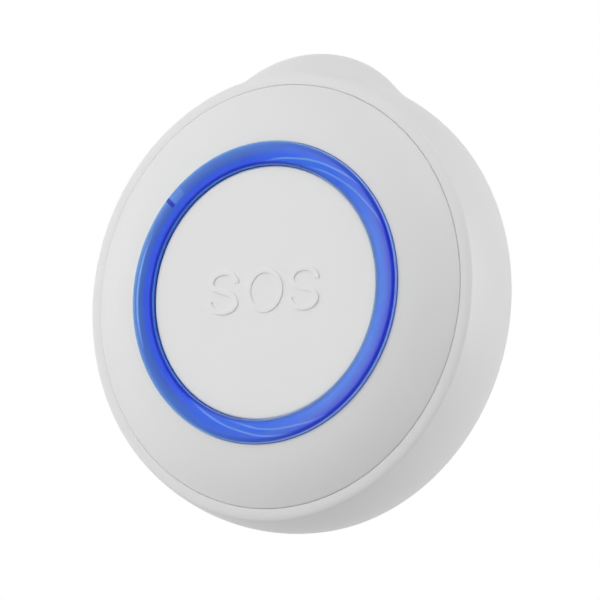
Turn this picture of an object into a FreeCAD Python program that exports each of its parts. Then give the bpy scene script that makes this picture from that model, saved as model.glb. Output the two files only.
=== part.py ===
# Wireless panic button: a round call button for a wall or a neck cord.
# Frame: X to the right seen from the front, Z up, the face looks towards -Y.
# The origin is the middle of the foam pad's sticky face, so the wall is the plane y = 0.
# Every "depth" below is a distance in front of the wall, in millimetres, so y = -depth.
# A round edge is drawn as straight strips, each turning by ROUND_STEP degrees or less,
# and the wide dome by DOME_STEP, so that the part stays light.
import FreeCAD, Part
import os
import math

Vec = FreeCAD.Vector
OUT = Vec(0, -1, 0)
ROUND_STEP = 30.0
DOME_STEP = 7.0
CROWN_STEP = 36.0
# A cutter runs past what it cuts by OVERRUN, and what is joined reaches in by JOIN
OVERRUN = 1.0
JOIN = 0.5

# Light ring
RING_OUTER_R = 26.1
RING_BAND = 4.1
RING_CROWN = 0.8
RING_FLANK = 0.5
RING_TUBE_WALL = 2.5
RING_FLANGE_WIDTH = 1.1
RING_FLANGE_THICK = 1.2
RING_PLAY = 0.15
RING_TAB_WIDTH = 2.4
RING_TAB_REACH = 0.8
RING_TAB_ANGLE = 135.0
RING_LIP_THICK = 3.05
LEG_SPAN = 10.0
LEG_COUNT = 4

# Case: a slightly oval seam round the ring, the swelling side of the rear shell, and the top lobe
COVER_BAND = 9.5
SEAM_TALLER = 1.0
SHOULDER = 1.9
SHOULDER_DEPTH = 0.7
SIDE_BULGE = 1.2
REAR_ROUNDING = 3.3
REAR_ROUNDING_DEPTH = 2.7
LOBE_RADIUS = 18.8
LOBE_BELOW_TOP = 12.25
LOBE_RUN = 16.65
LOBE_SETBACK = 4.75
LOBE_BLEND = 1.35
PAD_THICK = 1.0
HOUSING_DEPTH = 15.5
FLOOR = 2.0
CAVITY_DRAFT = 0.4
OUTLINE_POINTS = 40
CROWDING = 0.55
SIDE_STEPS = 4

# Front shell: a dome from the seam up to the edge of its round opening
DOME_RISE = 4.85
DOME_EDGE_SLOPE = 44.0
DOME_TOP_SLOPE = 10.0
WALL = 2.0
OPENING_LIP = 1.7
SHADOW_GAP = 0.3
SPIGOT_STEP = 1.2
SPIGOT_WALL = 1.5
SPIGOT_REACH = 3.9
SPIGOT_PLAY = 0.1
SPIGOT_ROOT = 0.8

# Push face
FACE_GAP = 0.3
FACE_CROWN = 0.2
FACE_FLAT_R = 15.0
FACE_EDGE_ROUND = 0.5
FACE_WALL = 1.8
SKIRT_WALL = 1.5
FLANGE_THICK = 1.05
FLANGE_PLAY = 0.3
REST_GAP = 0.05
STEM_R = 2.2
SPRING_CUP_WALL = 0.8
SPRING_CUP_DEEP = 1.2
RIB_COUNT = 6
RIB_THICK = 1.2
KEY_WIDTH = 2.0
KEY_REACH = 0.9
KEY_PLAY = 0.3
KEY_ANGLE = 270.0
TRAVEL = 0.5

# Circuit board and what it carries
BOARD_PLAY = 1.0
BOARD_THICK = 1.2
BOARD_DEPTH = 9.2
SWITCH_SIDE = 6.0
SWITCH_TALL = 3.2
SWITCH_COVER_THICK = 0.3
SWITCH_TOTAL = 5.0
PLUNGER_R = 1.7
PLUNGER_PLAY = 0.05
PLUNGER_LENGTH = 2.8
LED_COUNT = 8
LED_SIZE = (2.6, 3.4)
LED_TALL = 1.9
LED_TO_RING = 0.2
SPRING_R = 5.6
SPRING_WIRE_R = 0.25
SPRING_TURNS = 3.0
ANTENNA_R = 2.3
ANTENNA_WIRE_R = 0.35
ANTENNA_PITCH = 2.4
ANTENNA_TURNS = 3.0
ANTENNA_AT = (-3.6, 13.2)
RADIO_CHIP = (5.0, 4.0, 1.5)
RADIO_CHIP_AT = (-14.0, 3.5)
ENCODER_CHIP = (10.2, 5.4, 2.0)
ENCODER_CHIP_AT = (-8.5, -11.0)
CRYSTAL = (10.6, 4.4, 3.4)
CRYSTAL_AT = (11.5, 10.0)
CAPACITOR_R = 2.5
CAPACITOR_TALL = 5.2
CAPACITOR_AT = (12.0, -9.0)

# Coin cell, its contacts and its turn-to-open lid
CELL_R = 10.0
CELL_THICK = 3.2
CELL_CAP_R = 8.8
CELL_CAP_TALL = 0.5
CELL_PLAY = 0.25
CELL_TO_DOOR = 0.1
CONTACT_THICK = 0.3
CONTACT_WIDTH = 4.2
CONTACT_TO_CELL = 0.03
CONTACT_FOOT = 2.0
LEAF_ROOT = (-6.2, -2.6)
LEAF_TIP = (0.9, 4.4)
DOOR_RECESS = 0.1
DOOR_FLANGE_R = 14.6
DOOR_FLANGE_THICK = 1.1
DOOR_SPIGOT_R = 11.2
DOOR_PLAY = 0.3
DOOR_LUG_REACH = 1.6
DOOR_LUG_THICK = 1.0
DOOR_LUG_SPAN = 28.0
DOOR_LUG_COUNT = 3
DOOR_LUG_ANGLE = 90.0
DOOR_TURN = 45.0
DOOR_STOP_SPAN = 4.0
DOOR_STOP_PLAY = 1.0
DOOR_ENTRY_PLAY = 2.0
DOOR_STOP_LIFT = 0.2
LEDGE_THICK = 1.1
LUG_PLAY = 0.1
COIN_SLOT = (14.0, 2.0, 0.8)
WELL_WALL = 1.6
WELL_TALL = 4.6
WELL_RIB_SPAN = 9.0

# Screws, bosses, pad and cord eye
SCREW_COUNT = 3
SCREW_FIRST_ANGLE = 30.0
SCREW_R = 1.2
SCREW_HEAD_R = 2.3
SCREW_HEAD_TALL = 1.3
SCREW_HEAD_SUNK = 0.2
SCREW_HEAD_PLAY = 0.2
SCREW_GRIP = 4.6
SCREW_HOLE_PLAY = 0.3
PILOT_PLAY = 0.05
PILOT_SPARE = 0.5
CROSS_RECESS = (2.4, 0.6, 0.7)
BOSS_R = 2.8
POST_R = 2.3
POST_TO_RING = 0.2
PAD_TO_DOOR = 1.4
PAD_MARGIN = 0.5
EYE_WIDTH = 10.4
EYE_TALL = 3.4
EYE_DEEP = 4.5
EYE_BAR_WIDTH = 3.0
EYE_BAR_THICK = 1.8
EYE_ABOVE_LOBE = 13.75
EYE_CORNER_R = 1.0

# Places worked out from the sizes above
RING_INNER_R = RING_OUTER_R - RING_BAND
RING_TUBE_INNER_R = RING_OUTER_R - RING_TUBE_WALL
RING_FLANGE_R = RING_OUTER_R + RING_FLANGE_WIDTH
SEAM_HALF_WIDTH = RING_OUTER_R + COVER_BAND
SEAM_HALF_HEIGHT = SEAM_HALF_WIDTH + SEAM_TALLER
LOBE_CENTRE_Z = SEAM_HALF_HEIGHT - LOBE_BELOW_TOP
EYE_Z = LOBE_CENTRE_Z + EYE_ABOVE_LOBE
SCREW_CIRCLE_R = RING_FLANGE_R + POST_TO_RING + POST_R
BOARD_R = SEAM_HALF_WIDTH - SPIGOT_STEP - CAVITY_DRAFT - BOARD_PLAY
PAD_INNER_R = DOOR_FLANGE_R + PAD_TO_DOOR
PAD_OUTER_R = SCREW_CIRCLE_R + SCREW_HEAD_R + PAD_MARGIN
BACK = PAD_THICK
SEAM = BACK + HOUSING_DEPTH
INSIDE_FLOOR = BACK + FLOOR
RING_PLANE = SEAM + DOME_RISE
OPENING_R = RING_OUTER_R + RING_PLAY
UNDER_COVER = RING_PLANE - OPENING_LIP
LIP_UNDERSIDE = RING_PLANE - RING_LIP_THICK
BOARD_TOP = BOARD_DEPTH + BOARD_THICK
SPIGOT_END = SEAM - SPIGOT_REACH
RING_TUBE_END = BOARD_TOP + LED_TALL + LED_TO_RING
FACE_R = RING_INNER_R - FACE_GAP
FACE_UNDERSIDE = RING_PLANE - FACE_WALL
FLANGE_TOP = LIP_UNDERSIDE - REST_GAP
SWITCH_TOP = BOARD_TOP + SWITCH_TOTAL
DOOR_OUTSIDE = BACK + DOOR_RECESS
DOOR_FLANGE_IN = DOOR_OUTSIDE + DOOR_FLANGE_THICK
LEDGE_BACK = DOOR_FLANGE_IN + LUG_PLAY
LEDGE_FRONT = LEDGE_BACK + LEDGE_THICK
LUG_BACK = LEDGE_FRONT + LUG_PLAY
DOOR_INSIDE = LUG_BACK + DOOR_LUG_THICK
CELL_BACK = DOOR_INSIDE + CELL_TO_DOOR
CELL_FRONT = CELL_BACK + CELL_THICK
LUG_R = DOOR_SPIGOT_R + DOOR_LUG_REACH
WELL_R = LUG_R + DOOR_PLAY + RING_PLAY


def disc(radius, near, far, x=0.0, z=0.0):
    """A round solid between two depths."""
    return Part.makeCylinder(radius, far - near, Vec(x, -near, z), OUT)


def tube(inner, outer, near, far, x=0.0, z=0.0):
    """A ring with a square section."""
    return disc(outer, near, far, x, z).cut(disc(inner, near - OVERRUN, far + OVERRUN, x, z))


def block(width, tall, near, far, x=0.0, z=0.0):
    """A box centred on x and z, between two depths."""
    return Part.makeBox(width, far - near, tall, Vec(x - width / 2, -far, z - tall / 2))


def turned(shape, angle):
    """A copy turned about the button's axis, anticlockwise seen from the front."""
    copy = shape.copy()
    copy.rotate(Vec(0, 0, 0), OUT, angle)
    return copy


def around(shape, count, first=0.0):
    """Equally spaced copies about the button's axis."""
    return [turned(shape, first + 360.0 * i / count) for i in range(count)]


def revolved(corners, span=360.0, middle=0.0):
    """A profile of (radius, depth) corners turned about the axis."""
    points = [Vec(radius, -depth, 0) for radius, depth in corners]
    face = Part.Face(Part.makePolygon(points + points[:1]))
    solid = face.revolve(Vec(0, 0, 0), OUT, span)
    return turned(solid, middle - span / 2)


def sector(inner, outer, near, far, span, middle):
    """A piece of a square-section ring."""
    corners = [(inner, near), (outer, near), (outer, far), (inner, far)]
    return revolved(corners, span, middle)


def smooth_union(first, second, blend):
    """Joins two distances outside a form, with a concave blend where they are alike."""
    if blend <= 0:
        return min(first, second)
    share = max(blend - abs(first - second), 0.0) / blend
    return min(first, second) - share * share * blend / 4


def oval(half_width, half_height, depth):
    """An upright ellipse at one depth."""
    top = Vec(0, -depth, half_height)
    side = Vec(half_width, -depth, 0)
    return Part.Wire([Part.Ellipse(top, side, Vec(0, -depth, 0)).toShape()])


def oval_radius(angle, grow):
    """The seam's oval, larger by grow all round, as a distance from the axis."""
    wide = SEAM_HALF_WIDTH + grow
    tall = SEAM_HALF_HEIGHT + grow
    return wide * tall / math.hypot(tall * math.cos(angle), wide * math.sin(angle))


def lobed_radius(angle, grow, rise):
    """The oval joined to the lobe's circle, as a distance from the axis, found by halving."""
    oval = oval_radius(angle, grow)
    lobe_r = LOBE_RADIUS + grow - SHOULDER
    lobe_z = LOBE_CENTRE_Z - LOBE_SETBACK * (1 - rise)
    low = oval - LOBE_BLEND
    high = LOBE_CENTRE_Z + LOBE_RADIUS + LOBE_BLEND
    while high - low > 1e-6:
        middle = (low + high) / 2
        to_lobe = math.hypot(middle * math.cos(angle), middle * math.sin(angle) - lobe_z) - lobe_r
        if smooth_union(middle - oval, to_lobe, LOBE_BLEND * rise) < 0:
            low = middle
        else:
            high = middle
    return middle


def lobed_outline(grow, rise, depth):
    """A smooth closed outline at one depth, with its points closer together along the lobe."""
    points = []
    for i in range(OUTLINE_POINTS):
        share = 2 * math.pi * i / OUTLINE_POINTS
        angle = math.pi / 2 + share - CROWDING * math.sin(share)
        radius = lobed_radius(angle, grow, rise)
        points.append(Vec(radius * math.cos(angle), -depth, radius * math.sin(angle)))
    curve = Part.BSplineCurve()
    curve.interpolate(Points=points, PeriodicFlag=True)
    return Part.Wire([curve.toShape()])


def oval_loft(sections):
    """A solid through ovals, each given as (grow, depth) against the seam's oval."""
    wires = [oval(SEAM_HALF_WIDTH + grow, SEAM_HALF_HEIGHT + grow, depth) for grow, depth in sections]
    return Part.makeLoft(wires, True, True)


def turns(first, last, step=ROUND_STEP):
    """Angles from first to last, in radians, in equal steps of the given size or less."""
    steps = math.ceil(abs(last - first) / step - 1e-6)
    return [math.radians(first + (last - first) * i / steps) for i in range(steps + 1)]


def side_grow(behind):
    """How far the rear shell stands outside the seam's oval, at a distance behind the seam."""
    before_shoulder = 1 - min(behind / SHOULDER_DEPTH, 1.0)
    share = behind / HOUSING_DEPTH
    past = max(behind - HOUSING_DEPTH + REAR_ROUNDING_DEPTH, 0.0)
    shoulder = SHOULDER * math.sqrt(1 - before_shoulder ** 2)
    swelling = SIDE_BULGE * 4 * share * (1 - share)
    rounding = REAR_ROUNDING - math.sqrt(REAR_ROUNDING ** 2 - past ** 2)
    return shoulder + swelling - rounding


def side_sections():
    """Distances behind the seam at which the rear shell's outline is drawn."""
    side_end = HOUSING_DEPTH - REAR_ROUNDING_DEPTH
    for turn in turns(0, 90):
        yield SHOULDER_DEPTH * (1 - math.cos(turn))
    for step in range(1, SIDE_STEPS + 1):
        yield SHOULDER_DEPTH + (side_end - SHOULDER_DEPTH) * step / SIDE_STEPS
    last_turn = math.degrees(math.asin(REAR_ROUNDING_DEPTH / REAR_ROUNDING))
    for turn in turns(0, last_turn)[1:]:
        yield side_end + REAR_ROUNDING * math.sin(turn)


def housing_body():
    """The outside of the rear shell with its lobe, which swells from nothing at the seam."""
    wires = []
    for behind in side_sections():
        rise = 1 - (1 - min(behind / LOBE_RUN, 1.0)) ** 2
        wires.append(lobed_outline(side_grow(behind), rise, SEAM - behind))
    return Part.makeLoft(wires, True, True)


def screw_spots():
    """Places of the case screws, on a circle."""
    for i in range(SCREW_COUNT):
        angle = math.radians(SCREW_FIRST_ANGLE + 360.0 * i / SCREW_COUNT)
        yield SCREW_CIRCLE_R * math.cos(angle), SCREW_CIRCLE_R * math.sin(angle)


def cord_eye():
    """The pocket in the back of the lobe, with room behind a bar for a neck cord."""
    pocket = block(EYE_WIDTH, EYE_TALL, BACK - OVERRUN, BACK + EYE_DEEP, 0, EYE_Z)
    upright = [e for e in pocket.Edges if abs(e.Vertexes[0].Y - e.Vertexes[1].Y) > EYE_DEEP]
    pocket = pocket.makeFillet(EYE_CORNER_R, upright)
    bar = block(EYE_BAR_WIDTH, EYE_TALL + OVERRUN, BACK - OVERRUN, BACK + EYE_BAR_THICK, 0, EYE_Z)
    return pocket.cut(bar)


def rear_housing():
    body = housing_body()
    mouth = -SPIGOT_STEP
    body = body.cut(oval_loft([(mouth - CAVITY_DRAFT, INSIDE_FLOOR), (mouth, SPIGOT_END), (mouth, SEAM + OVERRUN)]))
    for x, z in screw_spots():
        boss = disc(BOSS_R, INSIDE_FLOOR - JOIN, BOARD_DEPTH, x, z)
        body = body.fuse(boss)
    well_top = LEDGE_FRONT + WELL_TALL
    body = body.fuse(disc(WELL_R + WELL_WALL, INSIDE_FLOOR - JOIN, well_top))
    body = body.cut(disc(WELL_R, LEDGE_FRONT, well_top + OVERRUN))
    body = body.cut(disc(DOOR_SPIGOT_R + DOOR_PLAY, BACK - OVERRUN, LEDGE_FRONT + OVERRUN))
    body = body.cut(disc(DOOR_FLANGE_R + DOOR_PLAY, BACK - OVERRUN, LEDGE_BACK))
    for i in range(DOOR_LUG_COUNT):
        closed_at = DOOR_LUG_ANGLE + 360.0 * i / DOOR_LUG_COUNT
        open_at = closed_at - DOOR_TURN
        entry = sector(DOOR_SPIGOT_R - OVERRUN, LUG_R + DOOR_PLAY, LEDGE_BACK - OVERRUN, LEDGE_FRONT + OVERRUN,
                       DOOR_LUG_SPAN + 2 * DOOR_ENTRY_PLAY, open_at)
        body = body.cut(entry)
        past_lug = (DOOR_LUG_SPAN + DOOR_STOP_SPAN) / 2 + DOOR_STOP_PLAY
        for middle in (closed_at + past_lug, open_at - past_lug):
            stop = sector(DOOR_SPIGOT_R + DOOR_PLAY, WELL_R + JOIN, LEDGE_BACK + DOOR_STOP_LIFT, DOOR_INSIDE,
                          DOOR_STOP_SPAN, middle)
            body = body.fuse(stop)
        rib = sector(CELL_R + CELL_PLAY, WELL_R + JOIN, CELL_BACK, well_top, WELL_RIB_SPAN, open_at)
        body = body.fuse(rib)
    for x, z in screw_spots():
        seat = BACK + SCREW_HEAD_SUNK + SCREW_HEAD_TALL
        body = body.cut(disc(SCREW_HEAD_R + SCREW_HEAD_PLAY, BACK - OVERRUN, seat, x, z))
        body = body.cut(disc(SCREW_R + SCREW_HOLE_PLAY, BACK, BOARD_DEPTH + OVERRUN, x, z))
    return body.cut(cord_eye())


def dome_sections(inset):
    """The cover's dome as (share of the way out, slope, depth), taken in from the outside by inset."""
    top = math.radians(DOME_TOP_SLOPE)
    edge = math.radians(DOME_EDGE_SLOPE)
    low = SEAM + SHADOW_GAP
    for slope in turns(DOME_EDGE_SLOPE, DOME_TOP_SLOPE, DOME_STEP):
        out = (math.sin(slope) - math.sin(top)) / (math.sin(edge) - math.sin(top))
        down = (math.cos(top) - math.cos(slope)) / (math.cos(top) - math.cos(edge))
        depth = RING_PLANE - down * (RING_PLANE - low)
        yield out, inset * math.sin(slope), depth - inset * math.cos(slope)


def dome_loft(inset):
    """A solid under the dome: its outlines run from the seam's oval to the opening's circle."""
    wires = []
    for out, narrower, depth in dome_sections(inset):
        wide = OPENING_R + out * (SEAM_HALF_WIDTH - OPENING_R) - narrower
        tall = OPENING_R + out * (SEAM_HALF_HEIGHT - OPENING_R) - narrower
        wires.append(oval(wide, tall, depth))
    return Part.makeLoft(wires, True, True)


def front_cover():
    shell = dome_loft(0.0).cut(dome_loft(WALL))
    outside = -SPIGOT_STEP - SPIGOT_PLAY
    inside = outside - SPIGOT_WALL
    root = SEAM + SHADOW_GAP + SPIGOT_ROOT
    spigot = oval_loft([(outside, SPIGOT_END), (outside, root)])
    spigot = spigot.cut(oval_loft([(inside, SPIGOT_END - OVERRUN), (inside, root + OVERRUN)]))
    shell = shell.fuse(spigot)
    under_skin = dome_loft(WALL / 2)
    for x, z in screw_spots():
        low_end = disc(POST_R, BOARD_TOP, root, x, z)
        high_end = disc(POST_R, root - JOIN, RING_PLANE, x, z).common(under_skin)
        shell = shell.fuse(low_end.fuse(high_end))
    shell = shell.cut(disc(OPENING_R, LIP_UNDERSIDE - OVERRUN, RING_PLANE + OVERRUN))
    shell = shell.cut(disc(RING_FLANGE_R + RING_PLAY, LIP_UNDERSIDE - OVERRUN, UNDER_COVER))
    notch_width = RING_TAB_WIDTH + 2 * RING_PLAY
    notch_reach = RING_TAB_REACH + RING_PLAY
    notch = block(notch_reach + JOIN, notch_width, LIP_UNDERSIDE - OVERRUN, UNDER_COVER,
                  RING_FLANGE_R + (notch_reach - JOIN) / 2)
    shell = shell.cut(turned(notch, RING_TAB_ANGLE))
    pilot_end = BOARD_TOP + SCREW_GRIP + PILOT_SPARE
    for x, z in screw_spots():
        shell = shell.cut(disc(SCREW_R + PILOT_PLAY, BOARD_TOP - OVERRUN, pilot_end, x, z))
    return shell


def light_ring():
    """The light guide: a crowned band, a flange held under the cover, and a tube over the lamps."""
    crown_r = (RING_INNER_R + RING_OUTER_R) / 2
    flank = RING_PLANE + RING_FLANK
    flange_low = UNDER_COVER - RING_FLANGE_THICK
    half = (RING_OUTER_R - RING_INNER_R) / 2
    tall = RING_CROWN - RING_FLANK
    crown = [(crown_r + half * math.cos(t), flank + tall * math.sin(t)) for t in turns(180, 0, CROWN_STEP)]
    ring = revolved([(RING_INNER_R, LIP_UNDERSIDE)] + crown + [
        (RING_OUTER_R, UNDER_COVER),
        (RING_FLANGE_R, UNDER_COVER),
        (RING_FLANGE_R, flange_low),
        (RING_OUTER_R, flange_low),
        (RING_OUTER_R, RING_TUBE_END),
        (RING_TUBE_INNER_R, RING_TUBE_END),
        (RING_TUBE_INNER_R, LIP_UNDERSIDE),
    ])
    tab = block(RING_TAB_REACH + JOIN, RING_TAB_WIDTH, flange_low, UNDER_COVER,
                RING_FLANGE_R + (RING_TAB_REACH - JOIN) / 2)
    ring = ring.fuse(turned(tab, RING_TAB_ANGLE))
    for i in range(LEG_COUNT):
        middle = 180.0 / LED_COUNT + 360.0 * i / LEG_COUNT
        ring = ring.fuse(sector(RING_TUBE_INNER_R, RING_OUTER_R, BOARD_TOP, RING_TUBE_END + JOIN, LEG_SPAN, middle))
    slot_low = LIP_UNDERSIDE - FLANGE_THICK - REST_GAP - TRAVEL - KEY_PLAY
    slot_reach = KEY_REACH + KEY_PLAY
    slot = block(slot_reach + OVERRUN, KEY_WIDTH + 2 * KEY_PLAY, slot_low, LIP_UNDERSIDE,
                 RING_TUBE_INNER_R - FLANGE_PLAY + (slot_reach - OVERRUN) / 2)
    return ring.cut(turned(slot, KEY_ANGLE))


def sos_button():
    """The push face: a shallow crown, a skirt, a retaining flange, ribs, a spring cup and a stem."""
    face_top = RING_PLANE + FACE_CROWN
    edge_start = FACE_R - FACE_EDGE_ROUND
    edge_low = RING_PLANE - FACE_EDGE_ROUND
    flange_r = RING_TUBE_INNER_R - FLANGE_PLAY
    flange_low = FLANGE_TOP - FLANGE_THICK
    skirt_r = FACE_R - SKIRT_WALL
    edge = [(edge_start + FACE_EDGE_ROUND * math.sin(t), edge_low + FACE_EDGE_ROUND * math.cos(t))
            for t in turns(0, 90)]
    button = revolved([(0, FACE_UNDERSIDE), (0, face_top), (FACE_FLAT_R, face_top)] + edge + [
        (FACE_R, FLANGE_TOP),
        (flange_r, FLANGE_TOP),
        (flange_r, flange_low),
        (skirt_r, flange_low),
        (skirt_r, FACE_UNDERSIDE),
    ])
    inside = FACE_UNDERSIDE + JOIN
    cup_inner = SPRING_R + SPRING_WIRE_R + FACE_GAP
    cup_outer = cup_inner + SPRING_CUP_WALL
    cup_low = FACE_UNDERSIDE - SPRING_CUP_DEEP
    button = button.fuse(tube(cup_inner, cup_outer, cup_low, inside))
    button = button.fuse(disc(STEM_R, SWITCH_TOP + REST_GAP, inside))
    rib_length = skirt_r - cup_outer + 2 * JOIN
    rib = block(rib_length, RIB_THICK, cup_low, inside, (skirt_r + cup_outer) / 2)
    for copy in around(rib, RIB_COUNT):
        button = button.fuse(copy)
    key = block(KEY_REACH + JOIN, KEY_WIDTH, flange_low, FLANGE_TOP, flange_r + (KEY_REACH - JOIN) / 2)
    button = button.fuse(turned(key, KEY_ANGLE))
    return button


def circuit_board():
    board = disc(BOARD_R, BOARD_DEPTH, BOARD_TOP)
    hole_r = SCREW_R + SCREW_HOLE_PLAY
    for x, z in screw_spots():
        board = board.cut(disc(hole_r, BOARD_DEPTH - OVERRUN, BOARD_TOP + OVERRUN, x, z))
    return board


def switch_body():
    body = block(SWITCH_SIDE, SWITCH_SIDE, BOARD_TOP, BOARD_TOP + SWITCH_TALL)
    well_low = SWITCH_TOP - PLUNGER_LENGTH - TRAVEL - PLUNGER_PLAY
    return body.cut(disc(PLUNGER_R + PLUNGER_PLAY, well_low, SWITCH_TOP))


def switch_cover():
    """The pressed metal frame: a top plate with two ears down the sides."""
    low = BOARD_TOP + SWITCH_TALL
    high = low + SWITCH_COVER_THICK
    plate = block(SWITCH_SIDE + 2 * SWITCH_COVER_THICK, SWITCH_SIDE, low, high)
    ear_x = (SWITCH_SIDE + SWITCH_COVER_THICK) / 2
    for side in (-1, 1):
        ear = block(SWITCH_COVER_THICK, SWITCH_SIDE / 2, BOARD_TOP + SWITCH_TALL / 3, high, side * ear_x)
        plate = plate.fuse(ear)
    return plate.cut(disc(PLUNGER_R + PLUNGER_PLAY, low - OVERRUN, high + OVERRUN))


def switch_plunger():
    return disc(PLUNGER_R, SWITCH_TOP - PLUNGER_LENGTH, SWITCH_TOP)


def led():
    """One lamp chip under the light ring, at three o'clock."""
    middle = (RING_TUBE_INNER_R + RING_OUTER_R) / 2
    radial, along = LED_SIZE
    return block(radial, along, BOARD_TOP, BOARD_TOP + LED_TALL, middle)


def coil(radius, wire_r, pitch, turns):
    """A wound wire about the Z axis from z = 0, with a square section."""
    path = Part.makeHelix(pitch, pitch * turns, radius)
    corners = []
    for i in range(5):
        angle = 2 * math.pi * (i % 4) / 4
        corners.append(Vec(radius + wire_r * math.cos(angle), 0, wire_r * math.sin(angle)))
    section = Part.makePolygon(corners)
    return Part.Wire(path).makePipeShell([section], True, True)


def return_spring():
    """The central spring, between the board and the inside of the push face."""
    free = FACE_UNDERSIDE - BOARD_TOP - 2 * SPRING_WIRE_R - 2 * REST_GAP
    spring = coil(SPRING_R, SPRING_WIRE_R, free / SPRING_TURNS, SPRING_TURNS)
    spring.rotate(Vec(0, 0, 0), Vec(1, 0, 0), 90)
    spring.translate(Vec(0, -(BOARD_TOP + SPRING_WIRE_R + REST_GAP), 0))
    return spring


def antenna_coil():
    """The wound aerial, lying on the board."""
    aerial = coil(ANTENNA_R, ANTENNA_WIRE_R, ANTENNA_PITCH, ANTENNA_TURNS)
    aerial.rotate(Vec(0, 0, 0), Vec(0, 1, 0), 90)
    x, z = ANTENNA_AT
    lift = BOARD_TOP + ANTENNA_R + ANTENNA_WIRE_R + REST_GAP
    aerial.translate(Vec(x, -lift, z))
    return aerial


def board_chip(size, place):
    """A flat moulded chip on the board."""
    wide, tall, thick = size
    x, z = place
    return block(wide, tall, BOARD_TOP, BOARD_TOP + thick, x, z)


def crystal_can():
    """A drawn metal can with round ends."""
    wide, tall, thick = CRYSTAL
    x, z = CRYSTAL_AT
    can = block(wide - tall, tall, BOARD_TOP, BOARD_TOP + thick, x, z)
    for side in (-1, 1):
        can = can.fuse(disc(tall / 2, BOARD_TOP, BOARD_TOP + thick, x + side * (wide - tall) / 2, z))
    return can.removeSplitter()


def storage_capacitor():
    x, z = CAPACITOR_AT
    return disc(CAPACITOR_R, BOARD_TOP, BOARD_TOP + CAPACITOR_TALL, x, z)


def coin_cell():
    """The standard cell: its wide positive can faces the lid, its smaller cap the board."""
    can_front = CELL_FRONT - CELL_CAP_TALL
    can = disc(CELL_R, CELL_BACK, can_front)
    return can.fuse(disc(CELL_CAP_R, can_front, CELL_FRONT)).removeSplitter()


def contact_negative():
    """A sprung leaf that hangs from the board and presses on the cell's cap."""
    top = BOARD_DEPTH
    tip = CELL_FRONT + CONTACT_TO_CELL
    root_start, root_end = LEAF_ROOT
    tip_start, tip_end = LEAF_TIP
    outline = [
        (root_start, top), (root_end, top), (tip_start, tip + CONTACT_THICK), (tip_end, tip + CONTACT_THICK),
        (tip_end, tip), (tip_start - CONTACT_THICK, tip), (root_end - CONTACT_THICK, top - CONTACT_THICK),
        (root_start, top - CONTACT_THICK),
    ]
    points = [Vec(x, -depth, -CONTACT_WIDTH / 2) for x, depth in outline]
    face = Part.Face(Part.makePolygon(points + points[:1]))
    return face.extrude(Vec(0, 0, CONTACT_WIDTH))


def contact_positive():
    """A clip that stands on the board's underside and touches the cell's edge."""
    near = CELL_R + CONTACT_TO_CELL
    leg_low = CELL_BACK + CELL_CAP_TALL
    leg = block(CONTACT_THICK, CONTACT_WIDTH, leg_low, BOARD_DEPTH, near + CONTACT_THICK / 2)
    foot = block(CONTACT_FOOT, CONTACT_WIDTH, BOARD_DEPTH - CONTACT_THICK, BOARD_DEPTH, near + CONTACT_FOOT / 2)
    return leg.fuse(foot).removeSplitter()


def battery_door():
    """The lid: a flange with a coin slot, a short spigot and three bayonet lugs."""
    door = disc(DOOR_FLANGE_R, DOOR_OUTSIDE, DOOR_FLANGE_IN)
    door = door.fuse(disc(DOOR_SPIGOT_R, DOOR_FLANGE_IN, DOOR_INSIDE))
    lug = sector(DOOR_SPIGOT_R - JOIN, LUG_R, LUG_BACK, DOOR_INSIDE, DOOR_LUG_SPAN, 0.0)
    for copy in around(lug, DOOR_LUG_COUNT, DOOR_LUG_ANGLE):
        door = door.fuse(copy)
    length, width, deep = COIN_SLOT
    return door.cut(block(length, width, DOOR_OUTSIDE - OVERRUN, DOOR_OUTSIDE + deep))


def case_screw(x, z):
    """A small screw with a cross recess, from the back through the board into the cover's post."""
    low = BACK + SCREW_HEAD_SUNK
    head_top = low + SCREW_HEAD_TALL
    screw = disc(SCREW_HEAD_R, low, head_top, x, z)
    screw = screw.fuse(disc(SCREW_R, head_top, BOARD_TOP + SCREW_GRIP, x, z))
    length, width, deep = CROSS_RECESS
    screw = screw.cut(block(length, width, low - OVERRUN, low + deep, x, z))
    return screw.cut(block(width, length, low - OVERRUN, low + deep, x, z))


def case_screws():
    return Part.makeCompound([case_screw(x, z) for x, z in screw_spots()])


def wall_pad():
    return tube(PAD_INNER_R, PAD_OUTER_R, 0.0, PAD_THICK)


os.makedirs("parts", exist_ok=True)

pieces = {
    "rear_housing": rear_housing(),
    "front_cover": front_cover(),
    "light_ring": light_ring(),
    "sos_button": sos_button(),
    "return_spring": return_spring(),
    "switch_body": switch_body(),
    "switch_cover": switch_cover(),
    "switch_plunger": switch_plunger(),
    "circuit_board": circuit_board(),
    "antenna_coil": antenna_coil(),
    "radio_chip": board_chip(RADIO_CHIP, RADIO_CHIP_AT),
    "encoder_chip": board_chip(ENCODER_CHIP, ENCODER_CHIP_AT),
    "crystal_can": crystal_can(),
    "storage_capacitor": storage_capacitor(),
    "coin_cell": coin_cell(),
    "contact_negative": contact_negative(),
    "contact_positive": contact_positive(),
    "battery_door": battery_door(),
    "case_screws": case_screws(),
    "wall_pad": wall_pad(),
}
for index, lamp in enumerate(around(led(), LED_COUNT)):
    pieces[f"led_{index + 1}"] = lamp

for node, shape in pieces.items():
    shape.exportStep(f"parts/{node}.step")
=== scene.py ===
import math
import bmesh
import bpy
from mathutils import Matrix, Vector


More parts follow.
